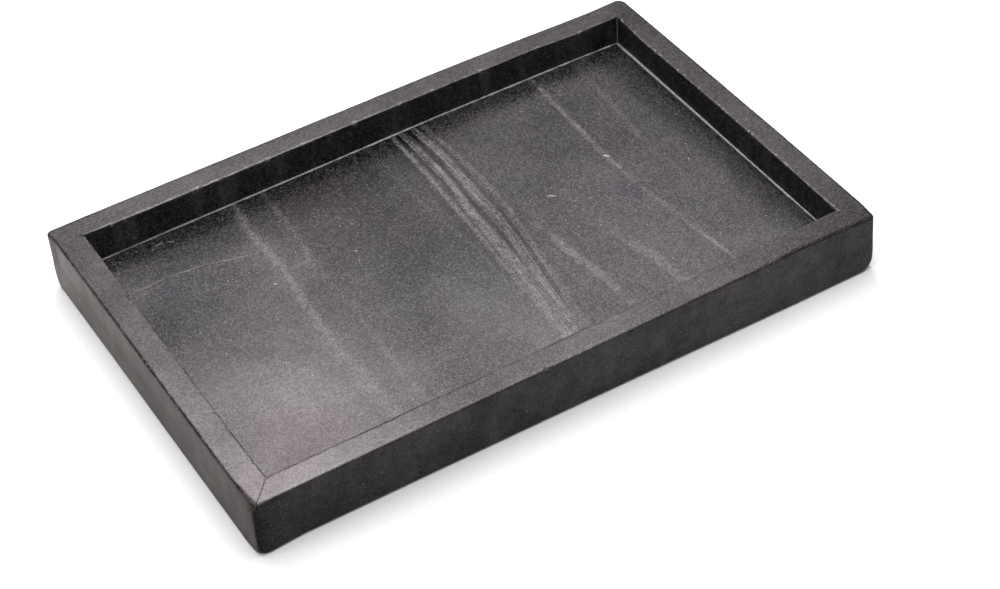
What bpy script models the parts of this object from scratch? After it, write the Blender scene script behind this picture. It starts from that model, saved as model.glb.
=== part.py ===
"""Marble tray: a floor slab bonded between four mitred stone rails, on four felt pads.

It stands on z = 0 with its middle over the origin. X runs along its length, Y from the
front rail to the back rail and Z up. Every length is in metres.
"""

import math

import bmesh
import bpy
from mathutils import Vector

# The whole tray
TRAY_LENGTH = 0.300
TRAY_WIDTH = 0.200
TRAY_HEIGHT = 0.030

# The rails: bars of one section on all four sides, rounded and eased after bonding
RAIL_WIDTH = 0.0112
RAIL_CORNER_RADIUS = 0.0030
RAIL_BOTTOM_RADIUS = 0.0010
RAIL_OUTER_EASE = 0.0006
RAIL_INNER_EASE = 0.0005

# The slab: its top face is the tray's floor
RECESS_DEPTH = 0.0158
SLAB_TOP_CHAMFER = 0.0006

# The adhesive: a film in every joint, and beads where the joints open into the tray
JOINT_FILM = 0.0003
JOINT_CLEARANCE = 0.0001
JOINT_RECESS = 0.0002
FLOOR_BEAD_RISE = 0.0005
CORNER_BEAD_LEG = 0.0007
TONGUE_SHARE = 0.25

# The felt pads: discs stuck to the slab's underside near its corners
PAD_DIAMETER = 0.014
PAD_HEIGHT = 0.0010
PAD_EASE = 0.0002
PAD_EDGE_DISTANCE = 0.014

# How finely curves are divided
CORNER_STEPS = 8
BOTTOM_STEPS = 6
EASE_STEPS = 3
BEAD_STEPS = 4
PAD_STEPS = 40

# Points closer than this are one point, and edges sharper than this stay crisp
WELD_DISTANCE = 0.000001
CREASE_DEGREES = 35

# Each corner: its name, its side along X and along Y, and where its round begins
CORNERS = (
    ("front_left", -1, -1, 180),
    ("front_right", 1, -1, 270),
    ("back_right", 1, 1, 0),
    ("back_left", -1, 1, 90),
)

# Each side: its name and its outward direction
SIDES = (
    ("front", (0, -1)),
    ("right", (1, 0)),
    ("back", (0, 1)),
    ("left", (-1, 0)),
)

# What follows from the sizes above
STONE_BOTTOM = PAD_HEIGHT
FLOOR_HEIGHT = TRAY_HEIGHT - RECESS_DEPTH
JOINT_WIDTH = JOINT_FILM + 2 * JOINT_CLEARANCE
SLAB_INSET = RAIL_WIDTH + JOINT_WIDTH


def clear_scene():
    """Removes whatever the scene holds."""
    for existing in list(bpy.data.objects):
        bpy.data.objects.remove(existing, do_unlink=True)


def make_material(name, colour, roughness):
    """A plain Principled material, not metallic."""
    material = bpy.data.materials.new(name)
    material.use_nodes = True
    shader = material.node_tree.nodes["Principled BSDF"]
    shader.inputs["Base Color"].default_value = (*colour, 1.0)
    shader.inputs["Roughness"].default_value = roughness
    shader.inputs["Metallic"].default_value = 0.0
    return material


def finish_mesh(name, shape, material):
    """Turns a bmesh into a mesh of one material, smooth except at its crisp edges."""
    bmesh.ops.recalc_face_normals(shape, faces=shape.faces)
    mesh = bpy.data.meshes.new(name)
    shape.to_mesh(mesh)
    shape.free()
    mesh.materials.append(material)
    mesh.shade_smooth()
    mesh.set_sharp_from_angle(angle=math.radians(CREASE_DEGREES))
    return mesh


def add_piece(name, mesh, tray, location=(0, 0, 0)):
    """Puts a mesh in the scene as a named piece of the tray."""
    piece = bpy.data.objects.new(name, mesh)
    bpy.context.scene.collection.objects.link(piece)
    piece.parent = tray
    piece.location = location
    return piece


def arc(centre, radius, start_degrees, end_degrees, steps):
    """Points on an arc, both ends included."""
    points = []
    for step in range(steps + 1):
        turned = (end_degrees - start_degrees) * step / steps
        angle = math.radians(start_degrees + turned)
        points.append((centre[0] + radius * math.cos(angle), centre[1] + radius * math.sin(angle)))
    return points


def hollow_fillet(start, end, steps):
    """Points on the hollow curve of a bead, which leaves its start level and ends upright."""
    points = []
    for step in range(steps + 1):
        angle = math.radians(90) * step / steps
        across = start[0] + (end[0] - start[0]) * math.sin(angle)
        up = start[1] + (end[1] - start[1]) * (1 - math.cos(angle))
        points.append((across, up))
    return points


def plan_point(side_x, side_y, inset, degrees):
    """A point in plan at a corner of the tray, some way in from the outer faces.

    The outline is round at the outer faces, and square from one corner radius inwards.
    """
    radius = max(RAIL_CORNER_RADIUS - inset, 0)
    square = max(inset - RAIL_CORNER_RADIUS, 0)
    angle = math.radians(degrees)
    x = side_x * (TRAY_LENGTH / 2 - RAIL_CORNER_RADIUS - square) + radius * math.cos(angle)
    y = side_y * (TRAY_WIDTH / 2 - RAIL_CORNER_RADIUS - square) + radius * math.sin(angle)
    return x, y


def rail_section(recess):
    """The rail's section as (inset, height) points, from the foot of its inner face.

    With a recess, the outline lies that far inside the stone's surface.
    """
    lower = (RAIL_BOTTOM_RADIUS, STONE_BOTTOM + RAIL_BOTTOM_RADIUS)
    outer = (RAIL_OUTER_EASE, TRAY_HEIGHT - RAIL_OUTER_EASE)
    inner = (RAIL_WIDTH - RAIL_INNER_EASE, TRAY_HEIGHT - RAIL_INNER_EASE)
    points = [(RAIL_WIDTH - recess, STONE_BOTTOM + recess)]
    points += arc(lower, RAIL_BOTTOM_RADIUS - recess, 270, 180, BOTTOM_STEPS)
    points += arc(outer, RAIL_OUTER_EASE - recess, 180, 90, EASE_STEPS)
    points += arc(inner, RAIL_INNER_EASE - recess, 90, 0, EASE_STEPS)
    return points


def floor_adhesive_section():
    """The adhesive between rail and slab: a thin web, and a fillet over the slab's chamfer."""
    wall = RAIL_WIDTH + JOINT_CLEARANCE
    web_edge = wall + JOINT_FILM
    web_bottom = STONE_BOTTOM + JOINT_RECESS
    slope_clearance = JOINT_CLEARANCE * math.sqrt(2)
    slope_bottom = FLOOR_HEIGHT - SLAB_TOP_CHAMFER - JOINT_CLEARANCE + slope_clearance
    bead_edge = SLAB_INSET + SLAB_TOP_CHAMFER - slope_clearance
    points = [(wall, web_bottom), (web_edge, web_bottom), (web_edge, slope_bottom)]
    bead_top = (wall, FLOOR_HEIGHT + FLOOR_BEAD_RISE)
    points += hollow_fillet((bead_edge, FLOOR_HEIGHT), bead_top, BEAD_STEPS)
    return points


def sweep_round(shape, section):
    """Sweeps a section of (inset, height) points once round the tray."""
    rings = []
    for _, side_x, side_y, start_degrees in CORNERS:
        for step in range(CORNER_STEPS + 1):
            degrees = start_degrees + 90 * step / CORNER_STEPS
            ring = []
            for inset, height in section:
                x, y = plan_point(side_x, side_y, inset, degrees)
                ring.append(shape.verts.new((x, y, height)))
            rings.append(ring)
    for ring, following in zip(rings, rings[1:] + rings[:1]):
        for index in range(len(section)):
            after = (index + 1) % len(section)
            shape.faces.new((ring[index], ring[after], following[after], following[index]))
    bmesh.ops.remove_doubles(shape, verts=shape.verts, dist=WELD_DISTANCE)


def keep_side(shape, outward, mitre_gap):
    """Cuts one side out of a sweep, with a mitre at each end, and closes both ends."""
    outward = Vector((*outward, 0))
    along = Vector((abs(outward.y), abs(outward.x), 0))
    for end in (along, -along):
        corner = outward + end
        normal = (end - outward).normalized()
        point = Vector((corner.x * TRAY_LENGTH / 2, corner.y * TRAY_WIDTH / 2, 0))
        bmesh.ops.bisect_plane(
            shape,
            geom=list(shape.verts) + list(shape.edges) + list(shape.faces),
            dist=WELD_DISTANCE,
            plane_co=point - normal * mitre_gap / 2,
            plane_no=normal,
            clear_outer=True,
        )
    open_edges = [edge for edge in shape.edges if edge.is_boundary]
    bmesh.ops.holes_fill(shape, edges=open_edges)


def extrude_outline(shape, outline, offset):
    """Extrudes a flat outline of points by an offset into a closed prism."""
    face = shape.faces.new([shape.verts.new(point) for point in outline])
    extruded = bmesh.ops.extrude_face_region(shape, geom=[face])
    moved = [item for item in extruded["geom"] if isinstance(item, bmesh.types.BMVert)]
    bmesh.ops.translate(shape, verts=moved, vec=offset)


def make_side_piece(name, section, outward, mitre_gap, material, tray):
    """A rail, or the adhesive along its foot: one mitred side of a sweep round the tray."""
    shape = bmesh.new()
    sweep_round(shape, section)
    keep_side(shape, outward, mitre_gap)
    return add_piece(name, finish_mesh(name, shape, material), tray)


def make_slab(material, tray):
    """The floor slab, with its top edges chamfered for the adhesive."""
    length = TRAY_LENGTH - 2 * SLAB_INSET
    width = TRAY_WIDTH - 2 * SLAB_INSET
    thickness = FLOOR_HEIGHT - STONE_BOTTOM
    shape = bmesh.new()
    bmesh.ops.create_cube(shape, size=1)
    bmesh.ops.scale(shape, vec=(length, width, thickness), verts=shape.verts)
    top_edges = [edge for edge in shape.edges if min(vert.co.z for vert in edge.verts) > 0]
    bmesh.ops.bevel(shape, geom=top_edges, offset=SLAB_TOP_CHAMFER, segments=1, affect="EDGES")
    mesh = finish_mesh("base_slab", shape, material)
    return add_piece("base_slab", mesh, tray, (0, 0, STONE_BOTTOM + thickness / 2))


def mitre_film_outline(side_x, side_y, start_degrees, bead_bottom, bead_top):
    """The film's outline in the mitre's own plane.

    It is the rail's section drawn back from the stone's surface, with a tongue that
    reaches through the joint into the bead.
    """
    tongue = RAIL_WIDTH + CORNER_BEAD_LEG * TONGUE_SHARE
    inner = RAIL_WIDTH - JOINT_RECESS
    section = rail_section(JOINT_RECESS)
    section += [(inner, bead_top - JOINT_RECESS), (tongue, bead_top - JOINT_RECESS)]
    section += [(tongue, bead_bottom + JOINT_RECESS), (inner, bead_bottom + JOINT_RECESS)]
    middle = start_degrees + 45
    return [(*plan_point(side_x, side_y, inset, middle), height) for inset, height in section]


def corner_bead_outline(side_x, side_y, height):
    """The bead's outline in plan: a hollow fillet between the two inner faces."""
    near = (JOINT_CLEARANCE, JOINT_CLEARANCE)
    curve = hollow_fillet((CORNER_BEAD_LEG, JOINT_CLEARANCE), (JOINT_CLEARANCE, CORNER_BEAD_LEG), BEAD_STEPS)
    outline = []
    for across, along in [near] + curve:
        x = side_x * (TRAY_LENGTH / 2 - RAIL_WIDTH - across)
        y = side_y * (TRAY_WIDTH / 2 - RAIL_WIDTH - along)
        outline.append((x, y, height))
    return outline


def make_mitre_adhesive(name, side_x, side_y, start_degrees, material, tray):
    """The film in one mitre, joined to the bead that stands in the tray's inner corner."""
    bead_bottom = FLOOR_HEIGHT + FLOOR_BEAD_RISE + JOINT_CLEARANCE
    bead_top = TRAY_HEIGHT - RAIL_INNER_EASE - JOINT_RECESS

    shape = bmesh.new()
    extrude_outline(
        shape, corner_bead_outline(side_x, side_y, bead_bottom), Vector((0, 0, bead_top - bead_bottom))
    )
    bead = add_piece(name + "_bead", finish_mesh(name + "_bead", shape, material), tray)
    bead.hide_render = True
    bead.display_type = "WIRE"

    shape = bmesh.new()
    across = Vector((-side_y, side_x, 0)).normalized() * JOINT_FILM
    outline = mitre_film_outline(side_x, side_y, start_degrees, bead_bottom, bead_top)
    extrude_outline(shape, [Vector(point) - across / 2 for point in outline], across)
    film = add_piece(name, finish_mesh(name, shape, material), tray)
    join = film.modifiers.new("join_bead", "BOOLEAN")
    join.operation = "UNION"
    join.solver = "EXACT"
    join.object = bead
    return film


def pad_mesh(material):
    """A felt disc with eased rims, turned about its axis and standing on its lower face."""
    radius = PAD_DIAMETER / 2
    height = PAD_HEIGHT - JOINT_CLEARANCE
    profile = arc((radius - PAD_EASE, PAD_EASE), PAD_EASE, 270, 360, EASE_STEPS)
    profile += arc((radius - PAD_EASE, height - PAD_EASE), PAD_EASE, 0, 90, EASE_STEPS)
    shape = bmesh.new()
    verts = [shape.verts.new((across, 0, up)) for across, up in profile]
    edges = [shape.edges.new(pair) for pair in zip(verts, verts[1:])]
    bmesh.ops.spin(
        shape, geom=verts + edges, cent=(0, 0, 0), axis=(0, 0, 1), angle=math.radians(360), steps=PAD_STEPS
    )
    bmesh.ops.remove_doubles(shape, verts=shape.verts, dist=WELD_DISTANCE)
    bmesh.ops.holes_fill(shape, edges=[edge for edge in shape.edges if edge.is_boundary])
    return finish_mesh("felt_pad", shape, material)


def main():
    clear_scene()
    stone = make_material("dark marble", (0.045, 0.042, 0.043), 0.55)
    adhesive = make_material("stone adhesive", (0.30, 0.29, 0.28), 0.50)
    felt = make_material("black felt", (0.02, 0.02, 0.02), 0.95)

    tray = bpy.data.objects.new("marble_tray", None)
    bpy.context.scene.collection.objects.link(tray)

    make_slab(stone, tray)
    for side, outward in SIDES:
        make_side_piece(side + "_rail", rail_section(0), outward, JOINT_WIDTH, stone, tray)
        make_side_piece(
            side + "_floor_adhesive", floor_adhesive_section(), outward, JOINT_CLEARANCE, adhesive, tray
        )

    pad = pad_mesh(felt)
    for corner, side_x, side_y, start_degrees in CORNERS:
        make_mitre_adhesive(corner + "_mitre_adhesive", side_x, side_y, start_degrees, adhesive, tray)
        x = side_x * (TRAY_LENGTH / 2 - SLAB_INSET - PAD_EDGE_DISTANCE)
        y = side_y * (TRAY_WIDTH / 2 - SLAB_INSET - PAD_EDGE_DISTANCE)
        add_piece(corner + "_pad", pad, tray, (x, y, 0))


main()
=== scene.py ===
"""The marble tray's looks: honed dark marble, its joints, chips and felt, in a pale studio.

Lengths are in metres where no comment says otherwise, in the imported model's own frame: X
runs along the tray, Y from the front rail to the back rail, and Z up from the surface that
the felt pads stand on.
"""

import itertools
import math

import bmesh
import bpy
import numpy as np
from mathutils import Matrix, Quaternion, Vector


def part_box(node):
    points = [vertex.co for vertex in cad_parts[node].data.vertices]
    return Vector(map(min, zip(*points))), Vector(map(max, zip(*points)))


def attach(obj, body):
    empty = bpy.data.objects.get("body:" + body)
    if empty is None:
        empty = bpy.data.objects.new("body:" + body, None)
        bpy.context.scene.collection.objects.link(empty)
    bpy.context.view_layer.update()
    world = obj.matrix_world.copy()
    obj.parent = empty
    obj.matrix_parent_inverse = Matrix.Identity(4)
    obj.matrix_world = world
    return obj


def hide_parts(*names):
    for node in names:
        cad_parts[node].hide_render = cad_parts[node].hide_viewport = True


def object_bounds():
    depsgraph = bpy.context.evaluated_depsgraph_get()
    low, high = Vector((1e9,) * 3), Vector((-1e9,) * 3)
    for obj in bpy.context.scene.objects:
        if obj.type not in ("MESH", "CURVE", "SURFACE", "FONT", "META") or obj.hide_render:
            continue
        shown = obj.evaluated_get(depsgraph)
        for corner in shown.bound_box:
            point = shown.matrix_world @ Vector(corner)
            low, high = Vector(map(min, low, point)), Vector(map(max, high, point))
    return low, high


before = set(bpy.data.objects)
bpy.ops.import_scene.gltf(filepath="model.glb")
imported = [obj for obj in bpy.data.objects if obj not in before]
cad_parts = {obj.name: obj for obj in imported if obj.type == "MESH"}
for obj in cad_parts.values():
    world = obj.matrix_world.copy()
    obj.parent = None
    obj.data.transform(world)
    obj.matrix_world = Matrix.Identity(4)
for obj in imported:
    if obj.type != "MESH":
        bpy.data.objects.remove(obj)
cad_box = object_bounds()

MM = 0.001

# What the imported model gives: the tray's outer half sizes, its levels and its rails
SLAB_LOW, SLAB_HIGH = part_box("base_slab")
RAIL_LOW, RAIL_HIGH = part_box("front_rail")
HALF_LENGTH = cad_box[1].x
HALF_WIDTH = cad_box[1].y
TOP = cad_box[1].z
STONE_BOTTOM = SLAB_LOW.z
FLOOR = SLAB_HIGH.z
RAIL_WIDTH = RAIL_HIGH.y - RAIL_LOW.y

# Tables give millimetres unless they say otherwise. A place along a rail is a share: -1 at
# the rail's start and 1 at its end, as SIDES has them.

# Each side: its outward direction and the corners where it starts and ends
SIDES = {
    "front": ((0, -1), "front_left", "front_right"),
    "right": ((1, 0), "front_right", "back_right"),
    "back": ((0, 1), "back_right", "back_left"),
    "left": ((-1, 0), "back_left", "front_left"),
}

# Each corner: its side along X and along Y
CORNERS = {
    "front_left": (-1, -1),
    "front_right": (1, -1),
    "back_right": (1, 1),
    "back_left": (-1, 1),
}

# How round each rail's outer top arris is: share along the rail and radius
ARRIS_RADII = {
    "front": ((-1, 0.9), (-0.95, 0.45), (0.5, 0.4), (0.75, 0.8), (1, 1.0)),
    "right": ((-1, 1.4), (-0.9, 0.6), (1, 0.8)),
    "back": ((-1, 0.8), (-0.9, 0.4), (0.9, 0.4), (1, 0.8)),
    "left": ((-1, 0.8), (-0.9, 0.55), (0.9, 0.6), (1, 0.9)),
}
INNER_EASE = 0.45 * MM
FOOT_RADIUS = 0.30 * MM
INNER_FOOT_GAP = 0.05 * MM

# How far each outer face was dressed back by hand: share along the rail, depth at the top
# and depth at the foot. Two rails that meet have the same depths at their mitre.
FACE_DRESSING = {
    "front": (
        (-1, 0, 0.7), (-0.88, 0, 2.1), (-0.5, 0, 2.0), (0, 0.1, 1.5), (0.42, 0.4, 0.8),
        (0.58, 0.3, 0.5), (0.75, 1.2, 0.2), (0.92, 0.6, 0.2), (1, 0.4, 0.2),
    ),
    "right": (
        (-1, 0.4, 0.2), (-0.93, 0, 0), (-0.3, 0.05, 0), (0.3, 0.45, 0.45), (0.7, 0.75, 0.75),
        (1, 1.2, 1.2),
    ),
    "back": (
        (-1, 1.2, 1.2), (-0.9, 1.9, 1.9), (-0.72, 1.45, 1.45), (-0.56, 0.8, 0.8),
        (-0.35, 0.15, 0.15), (-0.1, 0, 0), (1, 0.1, 0.1),
    ),
    "left": (
        (-1, 0.1, 0.1), (-0.93, 1.0, 0.5), (-0.4, 1.05, 0.5), (0.1, 0.85, 0.3),
        (0.9, 0.55, 0.1), (1, 0, 0.7),
    ),
}

# How much further in than drawn each rail's inner face stands, since the rails were not cut
# equally wide: place along X or Y, shift at the top and shift at the floor
INNER_WIDENING = {
    "front": (
        (-139, 0, 0), (-125, 0.3, 0.3), (-50, 0.5, 0.5), (0, 0.8, 0.8), (30, 1.3, 1.3),
        (139, 1.5, 1.5),
    ),
    "right": (
        (-89, 0.6, 0.1), (-60, 0.3, 0), (-20, 0.1, -0.1), (20, 0.2, -0.4), (65, 0.8, -0.5),
        (89, -0.3, -0.5),
    ),
    "back": (
        (-139, 0.6, 2.2), (-125, 1.1, 1.9), (-100, 1.3, 1.5), (-40, 0.8, 1.0), (0, 0.65, 0.5),
        (40, 0.75, 0), (95, 1.0, 0.3), (106, 1.9, 0.4), (116, 2.5, 0.5), (128, 2.2, 0.9),
        (139, 2.2, 1.2),
    ),
    "left": (
        (-89, 1.7, 1.7), (-70, 1.5, 1.5), (0, 1.8, 1.8), (45, 2.3, 2.3), (89, 2.7, 2.7),
    ),
}

# The widening fades out over the floor, and it starts just above the floor, in a thin ledge
WIDENING_FADE = 60 * MM
LEDGE = 0.02 * MM

# How far the top of one corner was knocked in along X, and how soon that fades along the
# side and downwards
KNOCKED_CORNER = "front_left"
KNOCK = 2.7 * MM
KNOCK_REACH = 20 * MM
KNOCK_POWER = 5

# How round each upright corner is, at the top and at the foot, where most of it is lost
CORNER_ROUNDING = {
    "front_left": (1.5, 5.4),
    "front_right": (1.7, 7.2),
    "back_right": (5.0, 4.6),
    "back_left": (2.8, 6.4),
}
ROUNDING_POWER = 13

# Half the gap that each mitre shows at its top. It closes to a share of that between two
# depths, and the film lies a little below the stone all round.
MITRE_HALF_GAP = {"front_left": 0.22, "front_right": 0.07, "back_right": 0.04, "back_left": 0.04}
OPEN_DEPTH = (1.0 * MM, 2.5 * MM)
CLOSED_SHARE = 0.12
FILM_RECESS = 0.25 * MM
FILM_INNER_RECESS = 0.02 * MM
FILM_FILL = 0.98

# Adhesive beads: at the foot of the walls and in the inner corners
BEAD_RISE = 0.26 * MM
BEAD_REACH = 0.30 * MM
BEAD_WOBBLE = 0.30 * MM
BEAD_WOBBLE_UP = 0.12 * MM
BEAD_LOW = 0.2 * MM
BEAD_WEB_DEPTH = 0.6 * MM
BEAD_MITRE_GAP = 0.05 * MM
BEAD_STEP = 0.8 * MM
CORNER_BEAD_LEG = 0.45 * MM
CORNER_BEAD_END = 0.3 * MM
CORNER_BEAD_SKIN = 0.02 * MM
CORNER_BEAD_STEP = 0.6 * MM

# Floor slab
SLAB_STEP = 1.6 * MM
SLAB_CHAMFER = 0.6 * MM
SLAB_WAVE = 0.06 * MM

# Mesh spacing along the rails, and wear of their arrises and faces
RING_STEP = 0.45 * MM
HONING_WAVE = 0.10 * MM
OUTER_WEAR_REACH = 0.50 * MM
INNER_WEAR_REACH = 0.40 * MM
OUTER_MARK_REACH = 0.35 * MM
INNER_MARK_REACH = 0.30 * MM
OUTER_CHIP_DEPTH = {"front": 0.34, "right": 0.06, "back": 0.06, "left": 0.34}
INNER_CHIP_DEPTH = 0.26 * MM
FULL_CHIP = 0.2 * MM
CHIPS_PER_METRE = 300
CHIP_SEED = 11

# Felt pads
PAD_EASE = 0.25 * MM
PAD_TURNS = 96


# Numbers and noise


def lattice_value(cells, seed):
    """A repeatable value from -1 to 1 for each whole-number cell."""
    mixed = cells[..., 0] * 73856093 ^ cells[..., 1] * 19349663 ^ cells[..., 2] * 83492791
    mixed = (mixed + seed * 2654435761) & 0xFFFFFFFF
    mixed = ((mixed ^ (mixed >> 15)) * 2246822519) & 0xFFFFFFFF
    mixed = ((mixed ^ (mixed >> 13)) * 3266489917) & 0xFFFFFFFF
    return (mixed ^ (mixed >> 16)) / 0x7FFFFFFF - 1


def smooth_noise(points, size, seed):
    """Smooth noise from -1 to 1 at each point, with features of about that size."""
    scaled = points / size
    base = np.floor(scaled).astype(np.int64)
    part = scaled - base
    part = part * part * (3 - 2 * part)
    total = np.zeros(points.shape[:-1])
    for corner in itertools.product((0, 1), repeat=3):
        weight = np.ones(points.shape[:-1])
        for axis, step in enumerate(corner):
            weight = weight * (part[..., axis] if step else 1 - part[..., axis])
        total += weight * lattice_value(base + np.array(corner), seed)
    return total


def line(start, end, steps):
    """Points from start towards end, closer together at both ends, without the last."""
    shares = (1 - np.cos(np.pi * np.arange(steps) / steps)) / 2
    return [(start[0] + (end[0] - start[0]) * s, start[1] + (end[1] - start[1]) * s) for s in shares]


def arc(centre, radius, start_degrees, end_degrees, steps):
    """Points on an arc from its start towards its end, without the last."""
    angles = np.radians(np.linspace(start_degrees, end_degrees, steps, endpoint=False))
    return [(centre[0] + radius * math.cos(a), centre[1] + radius * math.sin(a)) for a in angles]


# Meshes


def add_piece(name, verts, faces, material, *, replaces, values=None, smooth_degrees=40):
    """Adds a closed mesh that rides on the tray and stands for a CAD node."""
    mesh = bpy.data.meshes.new(name)
    mesh.from_pydata([tuple(v) for v in verts], [], faces)
    shape = bmesh.new()
    shape.from_mesh(mesh)
    bmesh.ops.recalc_face_normals(shape, faces=shape.faces)
    shape.to_mesh(mesh)
    shape.free()
    for key, data in (values or {}).items():
        mesh.attributes.new(key, "FLOAT", "POINT").data.foreach_set("value", np.ravel(data))
    mesh.materials.append(material)
    mesh.shade_smooth()
    mesh.set_sharp_from_angle(angle=math.radians(smooth_degrees))
    piece = bpy.data.objects.new(name, mesh)
    bpy.context.scene.collection.objects.link(piece)
    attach(piece, "root")
    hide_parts(replaces)
    return piece


def grid_faces(rings, points):
    """Quads between closed rings that follow each other, and a cap at each end."""
    faces = []
    for ring in range(rings - 1):
        for point in range(points):
            after = (point + 1) % points
            here, there = ring * points, (ring + 1) * points
            faces.append((here + point, here + after, there + after, there + point))
    faces.append(tuple(range(points)))
    faces.append(tuple((rings - 1) * points + point for point in reversed(range(points))))
    return faces


def rounding_at(corner, heights):
    """The upright corner's radius at each height: rounder towards the foot."""
    top, foot = CORNER_ROUNDING[corner]
    low = np.clip((TOP - heights) / (TOP - STONE_BOTTOM), 0, 1)
    return (top + (foot - top) * low**ROUNDING_POWER) * MM


def half_path(share, insets, heights, corner, half_along, half_out, gap):
    """Where points lie between a side's middle (share 0) and its mitre (share 1).

    Returns the distance along the side and the distance out from the tray's centre.
    """
    radius = rounding_at(corner, heights)
    turn = np.maximum(radius - insets, 1e-9)
    on_arc = insets + gap * math.sqrt(2) < radius
    sweep = math.pi / 4 - np.arcsin(np.clip(gap / turn, 0, 1))
    straight = np.where(on_arc, half_along - radius, half_along - insets - gap * math.sqrt(2))
    whole = straight + np.where(on_arc, turn * sweep, 0)
    travelled = share * whole
    angle = np.clip((travelled - straight) / turn, 0, None)
    bent = on_arc & (travelled > straight)
    along = np.where(bent, straight + turn * np.sin(angle), travelled)
    out = np.where(bent, half_out - radius + turn * np.cos(angle), half_out - insets)
    return along, out


def side_points(side, shares, insets, heights, gaps=None):
    """World points for a grid of section points swept along a side, mitre to mitre."""
    outward, start, end = SIDES[side]
    outward = np.array(outward)
    forward = np.array((-outward[1], outward[0]))
    half_along = HALF_LENGTH if outward[1] else HALF_WIDTH
    half_out = HALF_WIDTH if outward[1] else HALF_LENGTH
    gaps = gaps or (0, 0)
    near = half_path(-shares, insets, heights, start, half_along, half_out, gaps[0])
    far = half_path(shares, insets, heights, end, half_along, half_out, gaps[1])
    first_half = shares < 0
    along = np.where(first_half, -near[0], far[0])
    out = np.where(first_half, near[1], far[1])
    points = np.empty(along.shape + (3,))
    points[..., 0] = along * forward[0] + out * outward[0]
    points[..., 1] = along * forward[1] + out * outward[1]
    points[..., 2] = heights
    return points, along


def rail_section(foot, ease):
    """The rail's section as (inset, height) points, and which part of it each is on.

    The foot's radius and the outer top arris's are given, and points move in line with them.
    """
    lower = (foot, STONE_BOTTOM + foot)
    outer = (ease, TOP - ease)
    inner = (RAIL_WIDTH - INNER_EASE, TOP - INNER_EASE)
    parts = (
        ("under", line((RAIL_WIDTH, STONE_BOTTOM), (foot, STONE_BOTTOM), 6)),
        ("foot", arc(lower, foot, 270, 180, 8)),
        ("outside", line((0, STONE_BOTTOM + foot), (0, TOP - ease), 22)),
        ("outer_arris", arc(outer, ease, 180, 90, 7)),
        ("rim", line((ease, TOP), (RAIL_WIDTH - INNER_EASE, TOP), 18)),
        ("inner_arris", arc(inner, INNER_EASE, 90, 0, 5)),
        ("inside", line((RAIL_WIDTH, TOP - INNER_EASE), (RAIL_WIDTH, FLOOR + 1.5 * LEDGE), 12)),
        ("inside", line((RAIL_WIDTH, FLOOR + 1.5 * LEDGE), (RAIL_WIDTH, FLOOR + 0.5 * LEDGE), 1)),
        ("inside", line((RAIL_WIDTH, FLOOR + 0.5 * LEDGE), (RAIL_WIDTH, STONE_BOTTOM), 5)),
    )
    points = np.array([point for _, part in parts for point in part])
    names = np.array([name for name, part in parts for _ in part])
    return points, names


def half_gap(corner, heights):
    """Half a mitre's gap at each height: as given at the rim, and almost closed below it."""
    opened = np.interp(TOP - heights, OPEN_DEPTH, (1.0, CLOSED_SHARE))
    return MITRE_HALF_GAP[corner] * MM * opened


def dressed(side, shares, insets, heights):
    """How far in points lie once the outer face is dressed back, less so further inside."""
    places, tops, feet = np.array(FACE_DRESSING[side]).T
    up = (heights - STONE_BOTTOM) / (TOP - STONE_BOTTOM)
    depth = np.interp(shares, places, feet) * (1 - up) + np.interp(shares, places, tops) * up
    return insets + depth * MM * (1 - insets / RAIL_WIDTH)


def widening(side, points):
    """How a rail's uneven width moves points inwards, less so away from its inner face."""
    outward = SIDES[side][0]
    axis = 1 if outward[1] else 0
    half = HALF_WIDTH if outward[1] else HALF_LENGTH
    places, tops, feet = np.array(INNER_WIDENING[side]).T
    heights = points[..., 2]
    up = np.clip((heights - FLOOR) / (TOP - FLOOR), 0, 1)
    along = points[..., 1 - axis] / MM
    shift = np.interp(along, places, feet) * (1 - up) + np.interp(along, places, tops) * up
    inset = half - points[..., axis] * outward[axis]
    share = np.clip(inset / RAIL_WIDTH, 0, 1)
    share = share * np.clip(1 - (inset - RAIL_WIDTH) / WIDENING_FADE, 0, 1)
    moves = np.zeros(points.shape)
    moves[..., axis] = -outward[axis] * shift * MM * share * (heights > FLOOR + LEDGE)
    return moves


def knock(points):
    """How the blow to one corner moved points inwards."""
    x, y, heights = points[..., 0], points[..., 1], points[..., 2]
    side_x, side_y = CORNERS[KNOCKED_CORNER]
    from_end = np.clip(1 - (HALF_LENGTH - x * side_x) / RAIL_WIDTH, 0, 1)
    past_mitre = (HALF_WIDTH - y * side_y) - (HALF_LENGTH - x * side_x)
    from_side = np.clip(1 - np.clip(past_mitre, 0, None) / KNOCK_REACH, 0, 1) ** 2
    rise = np.clip((heights - STONE_BOTTOM) / (TOP - STONE_BOTTOM), 0, 1) ** KNOCK_POWER
    moves = np.zeros(points.shape)
    moves[..., 0] = -side_x * KNOCK * from_end * from_side * rise
    return moves


def as_cut(points):
    """Points of the plain frame, moved to where uneven cutting and the knock put them."""
    return points + sum(widening(side, points) for side in SIDES) + knock(points)


def section_normals(points):
    """The outward normal of a closed section at each of its points."""
    tangent = np.roll(points, -1, axis=0) - np.roll(points, 1, axis=0)
    normal = np.stack((tangent[:, 1], -tangent[:, 0]), axis=1)
    normal /= np.linalg.norm(normal, axis=1, keepdims=True)
    centre_side = ((points - points.mean(axis=0)) * normal).sum(axis=1).mean()
    return normal if centre_side > 0 else -normal


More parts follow.
